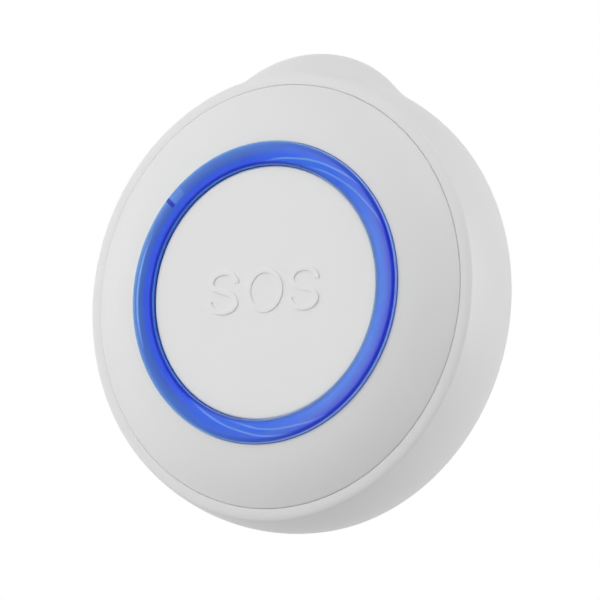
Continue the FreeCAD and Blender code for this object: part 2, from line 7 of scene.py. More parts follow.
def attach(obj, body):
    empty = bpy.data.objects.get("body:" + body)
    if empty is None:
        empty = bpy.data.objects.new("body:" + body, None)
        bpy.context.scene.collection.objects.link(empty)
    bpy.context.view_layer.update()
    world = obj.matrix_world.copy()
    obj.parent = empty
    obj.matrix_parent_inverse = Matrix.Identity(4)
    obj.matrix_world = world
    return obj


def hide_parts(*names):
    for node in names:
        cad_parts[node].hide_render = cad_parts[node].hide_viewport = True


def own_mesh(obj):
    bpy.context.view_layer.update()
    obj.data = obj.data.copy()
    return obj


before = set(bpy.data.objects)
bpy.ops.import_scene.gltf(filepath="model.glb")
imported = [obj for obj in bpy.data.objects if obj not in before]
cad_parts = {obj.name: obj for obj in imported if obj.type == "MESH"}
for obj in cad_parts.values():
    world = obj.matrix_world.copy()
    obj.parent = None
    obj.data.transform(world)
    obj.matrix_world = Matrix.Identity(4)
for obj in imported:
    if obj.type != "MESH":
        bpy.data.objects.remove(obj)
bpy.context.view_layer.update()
MM = 0.001

# Sizes in millimetres, as in the part. A depth is a distance in front of the wall, so y = -depth.
SEAM_HALF_WIDTH = 35.6
SEAM_HALF_HEIGHT = 36.6
SHOULDER = 1.9
SHOULDER_DEPTH = 0.7
SIDE_BULGE = 1.2
REAR_ROUNDING = 3.3
REAR_ROUNDING_DEPTH = 2.7
LOBE_RADIUS = 18.8
LOBE_CENTRE_Z = 24.35
LOBE_RUN = 16.65
LOBE_SETBACK = 4.75
LOBE_BLEND = 1.35
BACK = 1.0
HOUSING_DEPTH = 15.5
SEAM = BACK + HOUSING_DEPTH
INSIDE_FLOOR = 3.0
BOARD_DEPTH = 9.2
BOARD_TOP = 10.4
DOME_FOOT = 0.3
RIM_ROUNDING = 0.5
GROOVE = 0.04
GROOVE_DEEP = 0.3
GROOVE_LIP = 0.1
RIM_PLAY = 0.08
RIM_STEPS = 6
DOME_STEPS = 40
DOME_RISE = 4.85
DOME_EDGE_SLOPE = 44.0
DOME_TOP_SLOPE = 10.0
WALL = 2.0
SPIGOT_STEP = 1.2
SPIGOT_PLAY = 0.1
SPIGOT_WALL = 1.5
SPIGOT_END = 12.6
RING_PLANE = SEAM + DOME_RISE
RING_OUTER_R = 26.1
RING_INNER_R = 22.0
RING_PLAY = 0.15
OPENING_R = RING_OUTER_R + 0.06
OPENING_EDGE = 0.15
UNDER_COVER = RING_PLANE - 1.7
RING_CROWN = 0.8
RING_FLANK = 0.5
RING_FLANGE_R = 27.2
RING_FLANGE_THICK = 1.2
RING_TUBE_INNER_R = 23.6
RING_TUBE_END = 12.5
LIP_UNDERSIDE = RING_PLANE - 3.05
RING_TAB = (2.4, 0.8)
RING_TAB_ANGLE = 135.0
RING_EDGE = 0.06
LEG_SPAN = 10.0
FACE_R = 21.92
FACE_CROWN = 0.2
FACE_EDGE_ROUND = 0.35
FACE_UNDERSIDE = RING_PLANE - 1.8
FACE_FLANGE_TOP = LIP_UNDERSIDE - 0.05
FACE_FLANGE_R = 23.3
FACE_FLANGE_THICK = 1.05
SKIRT_R = 20.2
STEM_R = 2.2
STEM_END = 15.45
SPRING_CUP = (6.15, 6.95, 1.2)
SPRING_R = 5.6
SPRING_WIRE_R = 0.25
SPRING_TURNS = 4
SPRING_STEPS = 48
RIB_THICK = 1.2
LETTER_TALL = 7.7
LETTER_STROKE = 0.85
LETTER_FOOT = 1.05
LETTER_RAISED = 0.2
LETTER_SUNK = 0.3
LETTER_EDGE = 0.07
LETTER_MIDDLE_Z = 0.35
LETTER_S_AT = (-8.2, 7.75)
LETTER_S_WIDE = 5.3
LETTER_O_WIDE = 6.35
DOOR_R = 14.6
DOOR_PLAY = 0.3
DOOR_OUTSIDE = 1.1
DOOR_FLANGE_IN = 2.2
DOOR_SPIGOT_R = 11.2
LUG_R = 12.8
LUG_BACK = 3.5
DOOR_INSIDE = 4.5
LUG_SPAN = 28.0
LEDGE_BACK = 2.3
LEDGE_FRONT = 3.4
WELL_R = 13.25
WELL_WALL = 1.6
WELL_TOP = LEDGE_FRONT + 4.6
DOOR_TURN = 45.0
DOOR_EDGE = 0.25
POINTER = ((-0.9, 8.3), (0.9, 8.3), (0, 10.4))
LUG_EASE = 4.0
STOP_SPAN = 4.0
STOP_FROM_LUG = 17.0
WELL_LIP_R = WELL_R + 0.8
CELL_REST_R = 10.25
CELL_REST_BACK = 4.6
CELL_REST_SPAN = 9.0
COIN_SLOT = (14.0, 2.0, 0.8)
GRIP_COUNT = 40
GRIP_R = 12.4
GRIP_SIZE = (2.4, 0.6, 0.28)
MARK_R = 15.45
MARK_WIDE_R = 0.42
MARK_HOLLOW_R = 0.2
MARK_DEEP = 0.35
SCREW_CIRCLE_R = 29.7
SCREW_ANGLES = (30.0, 150.0, 270.0)
SCREW_HEAD_HOLE_R = 2.5
SCREW_HOLE_R = 1.5
SCREW_SEAT = 2.5
BOSS_R = 2.8
POST_R = 2.3
PILOT_R = 1.25
PILOT_DEEP = 5.1
POST_END = SEAM + 1.4
PAD_INNER_R = 16.0
PAD_OUTER_R = 32.5
PAD_EDGE = 0.12
EYE_WIDTH = 10.4
EYE_TALL = 3.4
EYE_DEEP = 4.5
EYE_BAR_WIDTH = 3.0
EYE_BAR_THICK = 1.8
EYE_Z = 38.1
EYE_CORNER = 1.0

AROUND = 360
CROWDING = 0.5


def linear(code):
    """An sRGB hex colour as the linear values that a shader takes."""
    parts = [int(code[i:i + 2], 16) / 255 for i in (1, 3, 5)]
    return tuple(p / 12.92 if p <= 0.04045 else ((p + 0.055) / 1.055) ** 2.4 for p in parts) + (1.0,)


def add(tree, kind, inputs=None, **settings):
    """Adds one node with its settings. An input is a value or another node's output."""
    node = tree.nodes.new(kind)
    for name, value in settings.items():
        setattr(node, name, value)
    for name, value in (inputs or {}).items():
        if isinstance(value, bpy.types.NodeSocket):
            tree.links.new(value, node.inputs[name])
        else:
            node.inputs[name].default_value = value
    return node


# Geometry Nodes trees. What they make lies flat, its height along Z, until each tree stands it up to face the front.

def growing_tree(name, sizes):
    """A tree that takes a base shape, the sizes named here and a material."""
    tree = bpy.data.node_groups.new(name, "GeometryNodeTree")
    tree.interface.new_socket("Geometry", in_out="OUTPUT", socket_type="NodeSocketGeometry")
    tree.interface.new_socket("Geometry", in_out="INPUT", socket_type="NodeSocketGeometry")
    for label, kind in sizes.items():
        tree.interface.new_socket(label, in_out="INPUT", socket_type=kind)
    tree.interface.new_socket("Material", in_out="INPUT", socket_type="NodeSocketMaterial")
    return tree, add(tree, "NodeGroupInput").outputs


def end_tree(tree, given, flat):
    """Stands the flat shape up, makes its copies real and gives it its material."""
    stood = add(tree, "GeometryNodeTransform", {"Geometry": flat, "Rotation": (math.pi / 2, 0, 0)})
    real = add(tree, "GeometryNodeRealizeInstances", {"Geometry": stood.outputs[0]})
    dressed = add(tree, "GeometryNodeSetMaterial", {"Geometry": real.outputs[0], "Material": given["Material"]})
    add(tree, "NodeGroupOutput", {"Geometry": dressed.outputs[0]})
    return tree


def sweep_round_tree():
    """Carries a closed profile, given as distance from Radius and height, once round the axis."""
    tree, given = growing_tree("sweep_round", {"Radius": "NodeSocketFloat", "Steps": "NodeSocketInt"})
    profile = add(tree, "GeometryNodeMeshToCurve", {"Mesh": given["Geometry"]})
    circle = add(tree, "GeometryNodeCurvePrimitiveCircle", {"Radius": given["Radius"], "Resolution": given["Steps"]})
    swept = add(tree, "GeometryNodeCurveToMesh", {
        "Curve": circle.outputs["Curve"], "Profile Curve": profile.outputs["Curve"]})
    return end_tree(tree, given, swept.outputs["Mesh"])


def raised_stroke_tree():
    """Draws a letter's stroke, with sloping walls and softened edges, along its middle line."""
    tree, given = growing_tree("raised_stroke", {
        "Stroke": "NodeSocketFloat", "Foot": "NodeSocketFloat", "Height": "NodeSocketFloat",
        "Edge": "NodeSocketFloat", "Fineness": "NodeSocketInt"})
    line = add(tree, "GeometryNodeMeshToCurve", {"Mesh": given["Geometry"]})
    flowing = add(tree, "GeometryNodeCurveSplineType", {"Curve": line.outputs["Curve"]}, spline_type="CATMULL_ROM")
    fine = add(tree, "GeometryNodeSetSplineResolution", {
        "Geometry": flowing.outputs[0], "Resolution": given["Fineness"]})
    level = add(tree, "GeometryNodeSetCurveNormal", {"Curve": fine.outputs[0]}, mode="Z_UP")
    wall = add(tree, "GeometryNodeCurvePrimitiveQuadrilateral", {
        "Height": given["Height"], "Bottom Width": given["Stroke"], "Top Width": given["Foot"], "Offset": 0.0},
        mode="TRAPEZOID")
    softened = add(tree, "GeometryNodeFilletCurve", {
        "Curve": wall.outputs["Curve"], "Count": 3, "Radius": given["Edge"]}, mode="POLY")
    swept = add(tree, "GeometryNodeCurveToMesh", {
        "Curve": level.outputs["Curve"], "Profile Curve": softened.outputs["Curve"], "Fill Caps": True})
    return end_tree(tree, given, swept.outputs["Mesh"])


def repeat_round_tree():
    """Sets copies of a shape on a circle round the axis, each turned with its place."""
    tree, given = growing_tree("repeat_round", {
        "Radius": "NodeSocketFloat", "Count": "NodeSocketInt", "First Angle": "NodeSocketFloat"})
    spots = add(tree, "GeometryNodeMeshCircle", {"Vertices": given["Count"], "Radius": given["Radius"]})
    number = add(tree, "GeometryNodeInputIndex")
    share = add(tree, "ShaderNodeMath", {0: number.outputs[0], 1: given["Count"]}, operation="DIVIDE")
    angle = add(tree, "ShaderNodeMath", {0: share.outputs[0], 1: 2 * math.pi}, operation="MULTIPLY")
    facing = add(tree, "ShaderNodeCombineXYZ", {"Z": angle.outputs[0]})
    copies = add(tree, "GeometryNodeInstanceOnPoints", {
        "Points": spots.outputs["Mesh"], "Instance": given["Geometry"], "Rotation": facing.outputs[0]})
    first = add(tree, "ShaderNodeCombineXYZ", {"Z": given["First Angle"]})
    started = add(tree, "GeometryNodeTransform", {"Geometry": copies.outputs[0], "Rotation": first.outputs[0]})
    return end_tree(tree, given, started.outputs[0])


def drawn_wire_tree():
    """Draws a round wire along a line."""
    tree, given = growing_tree("drawn_wire", {"Wire Radius": "NodeSocketFloat", "Sides": "NodeSocketInt"})
    line = add(tree, "GeometryNodeMeshToCurve", {"Mesh": given["Geometry"]})
    section = add(tree, "GeometryNodeCurvePrimitiveCircle", {
        "Resolution": given["Sides"], "Radius": given["Wire Radius"]})
    drawn = add(tree, "GeometryNodeCurveToMesh", {
        "Curve": line.outputs["Curve"], "Profile Curve": section.outputs["Curve"], "Fill Caps": True})
    return end_tree(tree, given, drawn.outputs["Mesh"])


SWEEP_ROUND = sweep_round_tree()
DRAWN_WIRE = drawn_wire_tree()
RAISED_STROKE = raised_stroke_tree()
REPEAT_ROUND = repeat_round_tree()


def grown(name, base, tree, material, values):
    """The plain mesh that a tree makes of a base mesh. Its values are named as the tree names its inputs."""
    piece = bpy.data.objects.new(name, base)
    bpy.context.scene.collection.objects.link(piece)
    growth = piece.modifiers.new(tree.name, "NODES")
    growth.node_group = tree
    for item in tree.interface.items_tree:
        if item.in_out == "INPUT" and item.name in values:
            growth[item.identifier] = values[item.name]
        if item.in_out == "INPUT" and item.name == "Material":
            growth[item.identifier] = material
    plain = bpy.data.meshes.new_from_object(piece.evaluated_get(bpy.context.evaluated_depsgraph_get()))
    piece.modifiers.remove(growth)
    piece.data = plain
    plain.name = name
    bpy.data.meshes.remove(base)
    return piece


def line_mesh(name, points, closed):
    """Points in millimetres joined by edges, for a tree to follow."""
    mesh = bpy.data.meshes.new(name)
    count = len(points)
    edges = [(i, (i + 1) % count) for i in range(count if closed else count - 1)]
    mesh.from_pydata([Vector(p) * MM for p in points], edges, [])
    return mesh


# Shapes

def smooth_union(first, second, blend):
    """Joins two distances outside a form, with a concave blend where they are alike."""
    if blend <= 0:
        return min(first, second)
    share = max(blend - abs(first - second), 0.0) / blend
    return min(first, second) - share * share * blend / 4


def lobed_radius(angle, grow, rise):
    """Distance from the axis to the rear shell's outline, with its lobe risen by rise."""
    wide = SEAM_HALF_WIDTH + grow
    tall = SEAM_HALF_HEIGHT + grow
    oval = wide * tall / math.hypot(tall * math.cos(angle), wide * math.sin(angle))
    lobe_r = LOBE_RADIUS + grow - SHOULDER
    lobe_z = LOBE_CENTRE_Z - LOBE_SETBACK * (1 - rise)
    low = oval - LOBE_BLEND
    high = LOBE_CENTRE_Z + LOBE_RADIUS + LOBE_BLEND
    while high - low > 1e-6:
        middle = (low + high) / 2
        to_lobe = math.hypot(middle * math.cos(angle), middle * math.sin(angle) - lobe_z) - lobe_r
        if smooth_union(middle - oval, to_lobe, LOBE_BLEND * rise) < 0:
            low = middle
        else:
            high = middle
    return middle


def lobed_ring(grow, rise, depth):
    points = []
    for i in range(AROUND):
        share = 2 * math.pi * i / AROUND
        angle = math.pi / 2 + share - CROWDING * math.sin(share)
        radius = lobed_radius(angle, grow, rise)
        points.append((radius * math.cos(angle), -depth, radius * math.sin(angle)))
    return points


def oval_ring(half_width, half_height, depth, count=AROUND):
    points = []
    for i in range(count):
        angle = 2 * math.pi * i / count
        points.append((half_width * math.cos(angle), -depth, half_height * math.sin(angle)))
    return points


def mesh_through(name, rings, closed=False):
    """A mesh through rings of points, joined end to end if closed, else capped at both ends."""
    shape = bmesh.new()
    rows = [[shape.verts.new(Vector(p) * MM) for p in ring] for ring in rings]
    count = len(rows[0])
    pairs = list(zip(rows, rows[1:]))
    if closed:
        pairs.append((rows[-1], rows[0]))
    for near, far in pairs:
        for i in range(count):
            j = (i + 1) % count
            shape.faces.new((near[i], near[j], far[j], far[i]))
    if not closed:
        shape.faces.new(rows[0])
        shape.faces.new(rows[-1])
    bmesh.ops.recalc_face_normals(shape, faces=shape.faces)
    mesh = bpy.data.meshes.new(name)
    shape.to_mesh(mesh)
    shape.free()
    piece = bpy.data.objects.new(name, mesh)
    bpy.context.scene.collection.objects.link(piece)
    return piece


def revolved(name, corners, x=0.0, z=0.0, count=AROUND):
    """A closed profile of (radius, depth) corners turned about an axis parallel to Y.
    Where the profile starts and ends at radius 0 the ends are capped."""
    solid = corners[0][0] == 0
    if solid:
        corners = corners[1:-1]
    piece = mesh_through(name, [oval_ring(r, r, depth, count) for r, depth in corners], closed=not solid)
    piece.data.transform(Matrix.Translation(Vector((x, 0, z)) * MM))
    return piece


def sector(name, inner, outer, near, far, span, middle):
    """A piece of a square-section ring, between two depths."""
    steps = 12
    rings = []
    for i in range(steps + 1):
        angle = math.radians(middle - span / 2 + span * i / steps)
        corners = [(inner, near), (outer, near), (outer, far), (inner, far)]
        rings.append([(r * math.cos(angle), -d, r * math.sin(angle)) for r, d in corners])
    return mesh_through(name, rings)


def flat_base(rings):
    """A mesh through rings of (x, y, height) points, lying flat for a tree to copy."""
    piece = mesh_through("base", rings)
    mesh = piece.data
    bpy.data.objects.remove(piece)
    return mesh


def flat_sector(inner, outer, near, far, span):
    """A piece of a square-section ring, lying flat, with the middle of its width at the origin."""
    middle = (inner + outer) / 2
    rings = []
    for i in range(9):
        angle = math.radians(span * (i / 8 - 0.5))
        corners = [(inner, near), (outer, near), (outer, far), (inner, far)]
        rings.append([(r * math.cos(angle) - middle, r * math.sin(angle), d) for r, d in corners])
    return flat_base(rings)


def round_the_axis(name, base, material, radius, count, first_angle):
    return grown(name, base, REPEAT_ROUND, material, {
        "Radius": radius * MM, "Count": count, "First Angle": math.radians(first_angle)})


def prism(name, outline, low, high, axis="Z"):
    """An outline of (x, depth) corners drawn out along Z, or of (x, z) corners drawn out in depth."""
    if axis == "Z":
        rings = [[(x, -depth, z) for x, depth in outline] for z in (low, high)]
    else:
        rings = [[(x, -depth, z) for x, z in outline] for depth in (low, high)]
    return mesh_through(name, rings)


def turned(piece, angle):
    """Turns a mesh about the button's axis, anticlockwise seen from the front."""
    piece.data.transform(Matrix.Rotation(math.radians(angle), 4, (0, -1, 0)))
    return piece


def combined(piece, how, *others):
    """Adds the others to the piece, or cuts them from it, one by one."""
    for other in others:
        change = piece.modifiers.new(how, "BOOLEAN")
        change.operation = how
        change.solver = "EXACT"
        change.object = other
        plain = bpy.data.meshes.new_from_object(piece.evaluated_get(bpy.context.evaluated_depsgraph_get()))
        piece.modifiers.remove(change)
        old = piece.data
        piece.data = plain
        bpy.data.meshes.remove(old)
        plain.name = piece.name
        bpy.data.objects.remove(other)
    return piece


def joined(piece, *others):
    """Sets the others into the piece as they stand, sunk a little into its surface."""
    shape = bmesh.new()
    for part in (piece, *others):
        shape.from_mesh(part.data)
    shape.to_mesh(piece.data)
    shape.free()
    for other in others:
        bpy.data.objects.remove(other)
    return piece


def arc(centre_r, centre_d, radius, first, last, steps=8):
    """Points on an arc in the (radius, depth) plane."""
    points = []
    for i in range(steps + 1):
        angle = math.radians(first + (last - first) * i / steps)
        points.append((centre_r + radius * math.cos(angle), centre_d + radius * math.sin(angle)))
    return points


def smooth(piece, angle=32.0):
    for face in piece.data.polygons:
        face.use_smooth = True
    piece.data.set_sharp_from_angle(angle=math.radians(angle))
    return piece


def screw_spots():
    for angle in SCREW_ANGLES:
        turn = math.radians(angle)
        yield SCREW_CIRCLE_R * math.cos(turn), SCREW_CIRCLE_R * math.sin(turn)


# Rear shell

def side_grow(behind):
    """How far the rear shell stands outside the seam's oval, at a distance behind the seam."""
    before_shoulder = 1 - min(behind / SHOULDER_DEPTH, 1.0)
    share = behind / HOUSING_DEPTH
    past = max(behind - HOUSING_DEPTH + REAR_ROUNDING_DEPTH, 0.0)
    shoulder = SHOULDER * math.sqrt(1 - before_shoulder ** 2)
    swelling = SIDE_BULGE * 4 * share * (1 - share)
    rounding = REAR_ROUNDING - math.sqrt(REAR_ROUNDING ** 2 - past ** 2)
    return shoulder + swelling - rounding


def side_sections():
    """Distances behind the seam at which the rear shell's outline is drawn."""
    side_end = HOUSING_DEPTH - REAR_ROUNDING_DEPTH
    last_turn = math.asin(REAR_ROUNDING_DEPTH / REAR_ROUNDING)
    sections = [SHOULDER_DEPTH * (1 - math.cos(math.pi / 2 * i / 14)) for i in range(15)]
    sections += [SHOULDER_DEPTH + (side_end - SHOULDER_DEPTH) * i / 20 for i in range(1, 21)]
    sections += [side_end + REAR_ROUNDING * math.sin(last_turn * i / 12) for i in range(1, 13)]
    return sections


def make_rear_housing():
    """The rear shell, with its groove for the cover, its battery well and bayonet, its bosses and its cord eye.
    A dot and a small ring in its back mark where the lid's pointer stands when the lid is closed and open."""
    rings = []
    for behind in side_sections():
        grow = side_grow(behind)
        if grow > GROOVE + GROOVE_LIP:
            rise = 1 - (1 - min(behind / LOBE_RUN, 1.0)) ** 2
            rings.append(lobed_ring(grow, rise, SEAM - behind))
    rings.reverse()
    for grow, depth in arc(GROOVE + GROOVE_LIP, SEAM - GROOVE_LIP, GROOVE_LIP, 90, 180, 4):
        rings.append(lobed_ring(grow, 0.0, depth))
    for grow, depth in ((GROOVE, SEAM - GROOVE_DEEP), (-SPIGOT_STEP, SEAM - GROOVE_DEEP),
                        (-SPIGOT_STEP, SPIGOT_END), (-SPIGOT_STEP - 0.4, INSIDE_FLOOR)):
        rings.append(lobed_ring(grow, 0.0, depth))
    housing = mesh_through("rear_shell", rings)
    well = revolved("well", [(WELL_R, INSIDE_FLOOR - 1), (WELL_R + WELL_WALL, INSIDE_FLOOR - 1),
                             (WELL_R + WELL_WALL, WELL_TOP), (WELL_R, WELL_TOP)], count=96)
    combined(housing, "UNION", well)
    for x, z in screw_spots():
        boss = revolved("boss", [(0, 2.0), (BOSS_R, 2.0), (BOSS_R, BOARD_DEPTH), (0, BOARD_DEPTH)], x, z, 48)
        combined(housing, "UNION", boss)
    bore = revolved("bore", [(0, 0), (DOOR_R + DOOR_PLAY, 0), (DOOR_R + DOOR_PLAY, LEDGE_BACK),
                             (DOOR_SPIGOT_R + DOOR_PLAY, LEDGE_BACK), (DOOR_SPIGOT_R + DOOR_PLAY, LEDGE_FRONT),
                             (WELL_R, LEDGE_FRONT), (WELL_R, WELL_TOP + 1), (0, WELL_TOP + 1)], count=96)
    combined(housing, "DIFFERENCE", bore)
    for i in range(3):
        closed_at = 90.0 + 120.0 * i
        open_at = closed_at - DOOR_TURN
        notch = sector("notch", DOOR_SPIGOT_R - 1, LUG_R + DOOR_PLAY, LEDGE_BACK - 1, LEDGE_FRONT + 1,
                       LUG_SPAN + LUG_EASE, open_at)
        combined(housing, "DIFFERENCE", notch)
        for middle in (closed_at + STOP_FROM_LUG, open_at - STOP_FROM_LUG):
            stop = sector("stop", DOOR_SPIGOT_R + DOOR_PLAY, WELL_LIP_R, LEDGE_BACK + 0.2, DOOR_INSIDE,
                          STOP_SPAN, middle)
            combined(housing, "UNION", stop)
        rib = sector("rib", CELL_REST_R, WELL_LIP_R, CELL_REST_BACK, WELL_TOP, CELL_REST_SPAN, open_at)
        combined(housing, "UNION", rib)
    for x, z in screw_spots():
        hole = revolved("hole", [(0, 0), (SCREW_HEAD_HOLE_R, 0), (SCREW_HEAD_HOLE_R, SCREW_SEAT),
                                 (SCREW_HOLE_R, SCREW_SEAT), (SCREW_HOLE_R, BOARD_DEPTH + 1),
                                 (0, BOARD_DEPTH + 1)], x, z, 48)
        combined(housing, "DIFFERENCE", hole)
    combined(housing, "DIFFERENCE", cord_eye())
    marks = []
    above, under = BACK - 0.2, BACK + MARK_DEEP
    for angle, hollow in ((90.0, 0.0), (90.0 - DOOR_TURN, MARK_HOLLOW_R)):
        turn = math.radians(angle)
        corners = [(hollow, above), (MARK_WIDE_R, above), (MARK_WIDE_R, under), (hollow, under)]
        marks.append(revolved("mark", corners, MARK_R * math.cos(turn), MARK_R * math.sin(turn), 32))
    combined(housing, "DIFFERENCE", *marks)
    return smooth(housing, 28.0)


def cord_eye():
    """The pocket for a neck cord, which passes behind a bar."""
    half, bar = EYE_WIDTH / 2, EYE_BAR_WIDTH / 2
    deep, under = BACK + EYE_DEEP, BACK + EYE_BAR_THICK
    outline = [(-half, 0), (-bar, 0), (-bar, under), (bar, under), (bar, 0), (half, 0), (half, deep), (-half, deep)]
    pocket = prism("pocket", outline, EYE_Z - EYE_TALL / 2, EYE_Z + EYE_TALL / 2)
    shape = bmesh.new()
    shape.from_mesh(pocket.data)
    corners = [e for e in shape.edges
               if abs(abs(e.verts[0].co.x) - half * MM) < 1e-6 and abs(e.verts[0].co.x - e.verts[1].co.x) < 1e-6
               and abs(e.verts[0].co.z - e.verts[1].co.z) < 1e-6]
    bmesh.ops.bevel(shape, geom=corners, offset=EYE_CORNER * MM, segments=6, affect="EDGES", profile=0.5)
    shape.to_mesh(pocket.data)
    shape.free()
    return pocket


# Front shell

def dome_point(slope):
    """(share of the way out, depth) on the outside of the dome where it has this slope."""
    top, edge = math.radians(DOME_TOP_SLOPE), math.radians(DOME_EDGE_SLOPE)
    low = SEAM + DOME_FOOT
    out = (math.sin(slope) - math.sin(top)) / (math.sin(edge) - math.sin(top))
    down = (math.cos(top) - math.cos(slope)) / (math.cos(top) - math.cos(edge))
    return out, RING_PLANE - down * (RING_PLANE - low)


def dome_ring(slope, inset):
    """The dome's outline at this slope, taken inwards by inset, as half width, half height and depth."""
    out, depth = dome_point(slope)
    narrower = inset * math.sin(slope)
    taken_in = RIM_ROUNDING * (1 - math.sin(math.radians(DOME_EDGE_SLOPE)))
    wide = OPENING_R + out * (SEAM_HALF_WIDTH - taken_in - OPENING_R) - narrower
    tall = OPENING_R + out * (SEAM_HALF_HEIGHT - taken_in - OPENING_R) - narrower
    return wide, tall, depth - inset * math.cos(slope)


def make_front_cover():
    """The domed cover: its spigot, its rounded rim, the dome out and in, and the posts that the screws go into."""
    edge, top = DOME_EDGE_SLOPE, DOME_TOP_SLOPE
    outside = -SPIGOT_STEP - SPIGOT_PLAY
    rim = SEAM - GROOVE_DEEP + RIM_PLAY
    ovals = [(SEAM_HALF_WIDTH + grow, SEAM_HALF_HEIGHT + grow, depth) for grow, depth in (
        (outside - SPIGOT_WALL, SPIGOT_END), (outside, SPIGOT_END), (outside, rim), (0.0, rim))]
    for i in range(RIM_STEPS + 1):
        slope = math.radians(90 + (edge - 90) * i / RIM_STEPS)
        narrower = RIM_ROUNDING * (1 - math.sin(slope))
        down = RIM_ROUNDING * (math.cos(math.radians(edge)) - math.cos(slope))
        ovals.append((SEAM_HALF_WIDTH - narrower, SEAM_HALF_HEIGHT - narrower, SEAM + DOME_FOOT - down))
    for i in range(1, DOME_STEPS + 1):
        wide, tall, depth = dome_ring(math.radians(edge + (top - edge) * i / DOME_STEPS), 0.0)
        if wide < OPENING_R + OPENING_EDGE:
            break
        ovals.append((wide, tall, depth))
    for r, depth in arc(OPENING_R + OPENING_EDGE, RING_PLANE - OPENING_EDGE, OPENING_EDGE, 95, 180, 6):
        ovals.append((r, r, depth))
    ovals.append((OPENING_R, OPENING_R, UNDER_COVER))
    ovals.append((RING_FLANGE_R + RING_PLAY, RING_FLANGE_R + RING_PLAY, UNDER_COVER))
    recess = RING_FLANGE_R + RING_PLAY
    for i in range(12):
        slope = math.radians(top + (edge - top) * i / 11)
        wide, tall, depth = dome_ring(slope, WALL)
        if wide <= recess or wide >= SEAM_HALF_WIDTH + outside - SPIGOT_WALL:
            continue
        if ovals[-1][0] == recess:
            ovals.append((recess, recess, depth + (wide - recess) * math.tan(slope)))
        ovals.append((wide, tall, depth))
    cover = mesh_through("dome_shell", [oval_ring(*sizes) for sizes in ovals], closed=True)
    for x, z in screw_spots():
        post = revolved("post", [(0, BOARD_TOP), (POST_R, BOARD_TOP), (POST_R, POST_END), (0, POST_END)], x, z, 48)
        combined(cover, "UNION", post)
        pilot_end = BOARD_TOP + PILOT_DEEP
        pilot = revolved("pilot", [(0, BOARD_TOP - 1), (PILOT_R, BOARD_TOP - 1), (PILOT_R, pilot_end),
                                   (0, pilot_end)], x, z, 24)
        combined(cover, "DIFFERENCE", pilot)
    return smooth(cover, 34.0)


# Light guide

def ring_profile():
    """(radius, depth) corners of the light guide: a crowned band on two low walls, a flange and a tube."""
    middle = (RING_INNER_R + RING_OUTER_R) / 2
    half = (RING_OUTER_R - RING_INNER_R) / 2 - RING_EDGE
    flank = RING_PLANE + RING_FLANK
    corners = [(RING_INNER_R, LIP_UNDERSIDE)]
    corners += arc(RING_INNER_R + RING_EDGE, flank - RING_EDGE, RING_EDGE, 180, 120, 3)
    steps = 24
    for i in range(1, steps):
        across = -1 + 2 * i / steps
        corners.append((middle + across * half, flank + (RING_CROWN - RING_FLANK) * (1 - across * across)))
    corners += arc(RING_OUTER_R - RING_EDGE, flank - RING_EDGE, RING_EDGE, 60, 0, 3)
    corners += [
        (RING_OUTER_R, UNDER_COVER),
        (RING_FLANGE_R, UNDER_COVER),
        (RING_FLANGE_R, UNDER_COVER - RING_FLANGE_THICK),
        (RING_OUTER_R, UNDER_COVER - RING_FLANGE_THICK),
        (RING_OUTER_R, RING_TUBE_END),
        (RING_TUBE_INNER_R, RING_TUBE_END),
        (RING_TUBE_INNER_R, LIP_UNDERSIDE),
    ]
    return corners


def make_light_ring():
    middle = (RING_INNER_R + RING_OUTER_R) / 2
    profile = line_mesh("ring_profile", [(r - middle, -depth, 0) for r, depth in ring_profile()], True)
    ring = grown("light_guide", profile, SWEEP_ROUND, LIGHT_GUIDE, {"Radius": middle * MM, "Steps": AROUND})
    wide, reach = RING_TAB
    outline = [(RING_FLANGE_R - 1, -wide / 2), (RING_FLANGE_R + reach, -wide / 2),
               (RING_FLANGE_R + reach, wide / 2), (RING_FLANGE_R - 1, wide / 2)]
    tab = turned(prism("tab", outline, UNDER_COVER - RING_FLANGE_THICK, UNDER_COVER, axis="Y"), RING_TAB_ANGLE)
    combined(ring, "UNION", tab)
    leg = flat_sector(RING_TUBE_INNER_R, RING_OUTER_R, BOARD_TOP, RING_TUBE_END + 1, LEG_SPAN)
    leg_r = (RING_TUBE_INNER_R + RING_OUTER_R) / 2
    combined(ring, "UNION", round_the_axis("legs", leg, LIGHT_GUIDE, leg_r, 4, 22.5))
    return smooth(ring, 35.0)


# Push face

# The middle line of an S, as shares of its width from the left and of its height from the top.
LETTER_S = (
    (0.98, 0.27), (0.97, 0.20), (0.80, 0.05), (0.50, 0.0), (0.20, 0.06), (0.05, 0.24), (0.16, 0.40), (0.50, 0.49),
    (0.84, 0.59), (0.98, 0.77), (0.83, 0.94), (0.50, 1.0), (0.18, 0.94), (0.01, 0.79), (0.0, 0.71))


def letter(name, points, closed):
    """A raised letter from (x, z) points on its middle line."""
    level = RING_PLANE + FACE_CROWN + (LETTER_RAISED - LETTER_SUNK) / 2
    line = line_mesh(name, [(x, z, level) for x, z in points], closed)
    return grown(name, line, RAISED_STROKE, FACE_ABS, {
        "Stroke": LETTER_STROKE * MM, "Foot": LETTER_FOOT * MM, "Height": (LETTER_RAISED + LETTER_SUNK) * MM,
        "Edge": LETTER_EDGE * MM, "Fineness": 8})


def make_letters():
    """The three letters of the distress call, with the O in the middle."""
    tall = LETTER_TALL - LETTER_STROKE
    letters = []
    for x in LETTER_S_AT:
        points = [(x + (across - 0.5) * LETTER_S_WIDE, LETTER_MIDDLE_Z + (0.5 - down) * tall)
                  for across, down in LETTER_S]
        letters.append(letter("letter_s", points, False))
    turns = [2 * math.pi * i / 16 for i in range(16)]
    points = [(LETTER_O_WIDE / 2 * math.cos(t), LETTER_MIDDLE_Z + tall / 2 * math.sin(t)) for t in turns]
    letters.append(letter("letter_o", points, True))
    return letters


